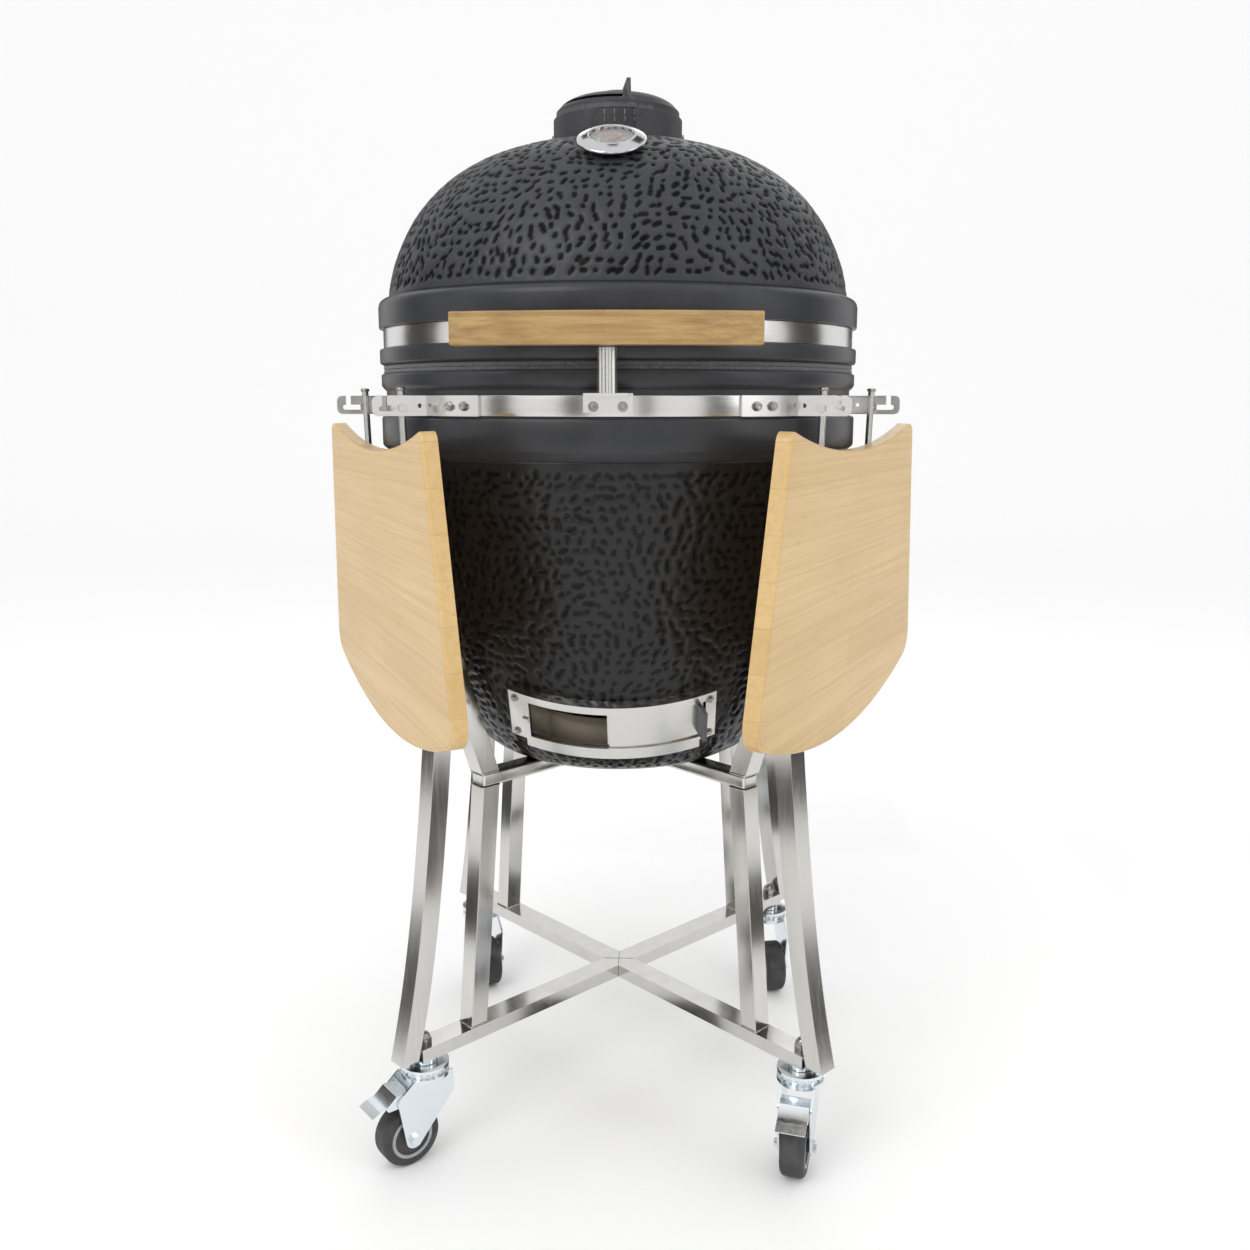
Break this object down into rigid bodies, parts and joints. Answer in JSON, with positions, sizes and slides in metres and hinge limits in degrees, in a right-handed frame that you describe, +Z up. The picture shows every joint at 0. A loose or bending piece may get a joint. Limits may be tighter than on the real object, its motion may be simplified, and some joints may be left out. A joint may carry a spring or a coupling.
{
  "type": "kamado ceramic grill",
  "caption": "Kamado ceramic grill: hinged domed lid and tapered body on a steel stand with casters, folding bamboo side shelves, draft door, top vent and thermometer.",
  "frame": {"origin": "where the body's vertical axis meets the floor, under the middle of the stand", "axes": "+Z up along the body axis, front (handle, thermometer and draft door) towards -Y, +X to the right seen from the front"},
  "size_m": [0.8128, 0.7425, 1.2844],
  "materials": {
    "ceramic_shell": "satin",
    "refractory": "matte",
    "cast_iron": "matte",
    "grid_steel": "satin",
    "felt": "matte",
    "band_steel": "satin",
    "fasteners": "satin",
    "bamboo": "satin",
    "bezel_chrome": "gloss",
    "dial_paint": "satin",
    "needle_paint": "satin",
    "glass": "gloss",
    "vent_steel": "satin",
    "knob_grey": "matte",
    "stand_steel": "gloss",
    "zinc": "satin",
    "tyre": "matte",
    "hub": "matte"
  },
  "bodies": {
    "grill": {"base_shell": "ceramic_shell", "fire_box": "refractory", "fire_ring": "refractory", "charcoal_grate": "cast_iron", "cooking_grid": "grid_steel", "base_gasket": "felt", "lower_band": "band_steel", "hinge_lower_bracket": "band_steel", "hinge_pin": "band_steel", "handle_rest": "band_steel", "lower_band_bolts": "fasteners", "draft_frame": "vent_steel", "draft_screws": "fasteners", "shelf_brackets": "band_steel", "lower_cross": "stand_steel", "upper_cross": "stand_steel", "inner_posts": "stand_steel", "cradle_arms": "stand_steel", "caster_stems": "zinc", "stem_nuts": "fasteners", "outer_leg_fl": "stand_steel", "outer_leg_fr": "stand_steel", "outer_leg_rl": "stand_steel", "outer_leg_rr": "stand_steel"},
    "lid": {"lid_shell": "ceramic_shell", "lid_gasket": "felt", "upper_band": "band_steel", "hinge_upper_bracket": "band_steel", "handle_bar": "bamboo", "handle_brackets": "band_steel", "top_vent_collar": "cast_iron", "top_vent_screws": "fasteners", "thermometer_bezel": "bezel_chrome", "thermometer_dial": "dial_paint", "thermometer_glass": "glass", "thermometer_probe": "bezel_chrome"},
    "vent_cap": {"top_vent_cap": "cast_iron"},
    "needle": {"thermometer_needle": "needle_paint"},
    "draft_slide": {"draft_door": "vent_steel", "draft_knob": "knob_grey"},
    "shelf_left": {"shelf_board_left": "bamboo", "shelf_rods_left": "band_steel"},
    "shelf_right": {"shelf_board_right": "bamboo", "shelf_rods_right": "band_steel"},
    "swivel_fl": {"caster_fork_fl": "zinc"},
    "wheel_fl": {"caster_tyre_fl": "tyre", "caster_hub_fl": "hub"},
    "swivel_fr": {"caster_fork_fr": "zinc"},
    "wheel_fr": {"caster_tyre_fr": "tyre", "caster_hub_fr": "hub"},
    "swivel_rl": {"caster_fork_rl": "zinc"},
    "wheel_rl": {"caster_tyre_rl": "tyre", "caster_hub_rl": "hub"},
    "swivel_rr": {"caster_fork_rr": "zinc"},
    "wheel_rr": {"caster_tyre_rr": "tyre", "caster_hub_rr": "hub"},
    "pedal_fl": {"brake_pedal_fl": "zinc"},
    "pedal_fr": {"brake_pedal_fr": "zinc"}
  },
  "joints": [
    {"name": "lid_hinge", "type": "hinge", "parent": "grill", "child": "lid", "pos_m": [0, 0.336, 0.951], "axis": [-1, 0, 0], "range_deg": [0, 72]},
    {"name": "vent_turn", "type": "hinge", "parent": "lid", "child": "vent_cap", "pos_m": [0, 0, 1.2195], "axis": [0, 0, 1], "range_deg": [-80, 0]},
    {"name": "needle_turn", "type": "hinge", "parent": "lid", "child": "needle", "pos_m": [0, -0.187, 1.1855], "axis": [0, -0.5446, 0.8387], "range_deg": [-240, 0]},
    {"name": "draft_slide", "type": "hinge", "parent": "grill", "child": "draft_slide", "pos_m": [0, 0.00167, 0.66265], "axis": [0, -0.5045, 0.8634], "range_deg": [-23, 0]},
    {"name": "shelf_fold_left", "type": "hinge", "parent": "grill", "child": "shelf_left", "pos_m": [-0.27255, -0.13352, 0.906], "axis": [-0.4399, 0.898, 0], "range_deg": [0, 92]},
    {"name": "shelf_fold_right", "type": "hinge", "parent": "grill", "child": "shelf_right", "pos_m": [0.27255, -0.13352, 0.906], "axis": [-0.4399, -0.898, 0], "range_deg": [0, 92]},
    {"name": "swivel_fl", "type": "hinge", "parent": "grill", "child": "swivel_fl", "pos_m": [-0.22882, -0.22882, 0.107], "axis": [0, 0, 1], "continuous": true},
    {"name": "roll_fl", "type": "hinge", "parent": "swivel_fl", "child": "wheel_fl", "pos_m": [-0.25027, -0.24682, 0.0375], "axis": [-0.6428, 0.766, 0], "continuous": true},
    {"name": "brake_fl", "type": "hinge", "parent": "swivel_fl", "child": "pedal_fl", "pos_m": [-0.25946, -0.25453, 0.09], "axis": [0.6428, -0.766, 0], "range_deg": [0, 12]},
    {"name": "swivel_fr", "type": "hinge", "parent": "grill", "child": "swivel_fr", "pos_m": [0.22882, -0.22882, 0.107], "axis": [0, 0, 1], "continuous": true},
    {"name": "roll_fr", "type": "hinge", "parent": "swivel_fr", "child": "wheel_fr", "pos_m": [0.22157, -0.25587, 0.0375], "axis": [-0.9659, 0.2588, 0], "continuous": true},
    {"name": "brake_fr", "type": "hinge", "parent": "swivel_fr", "child": "pedal_fr", "pos_m": [0.21847, -0.26746, 0.09], "axis": [0.9659, -0.2588, 0], "range_deg": [0, 12]},
    {"name": "swivel_rl", "type": "hinge", "parent": "grill", "child": "swivel_rl", "pos_m": [-0.22882, 0.22882, 0.107], "axis": [0, 0, 1], "continuous": true},
    {"name": "roll_rl", "type": "hinge", "parent": "swivel_rl", "child": "wheel_rl", "pos_m": [-0.21699, 0.20344, 0.0375], "axis": [-0.9063, -0.4226, 0], "continuous": true},
    {"name": "swivel_rr", "type": "hinge", "parent": "grill", "child": "swivel_rr", "pos_m": [0.22882, 0.22882, 0.107], "axis": [0, 0, 1], "continuous": true},
    {"name": "roll_rr", "type": "hinge", "parent": "swivel_rr", "child": "wheel_rr", "pos_m": [0.23368, 0.20125, 0.0375], "axis": [-0.9848, -0.1736, 0], "continuous": true}
  ]
}
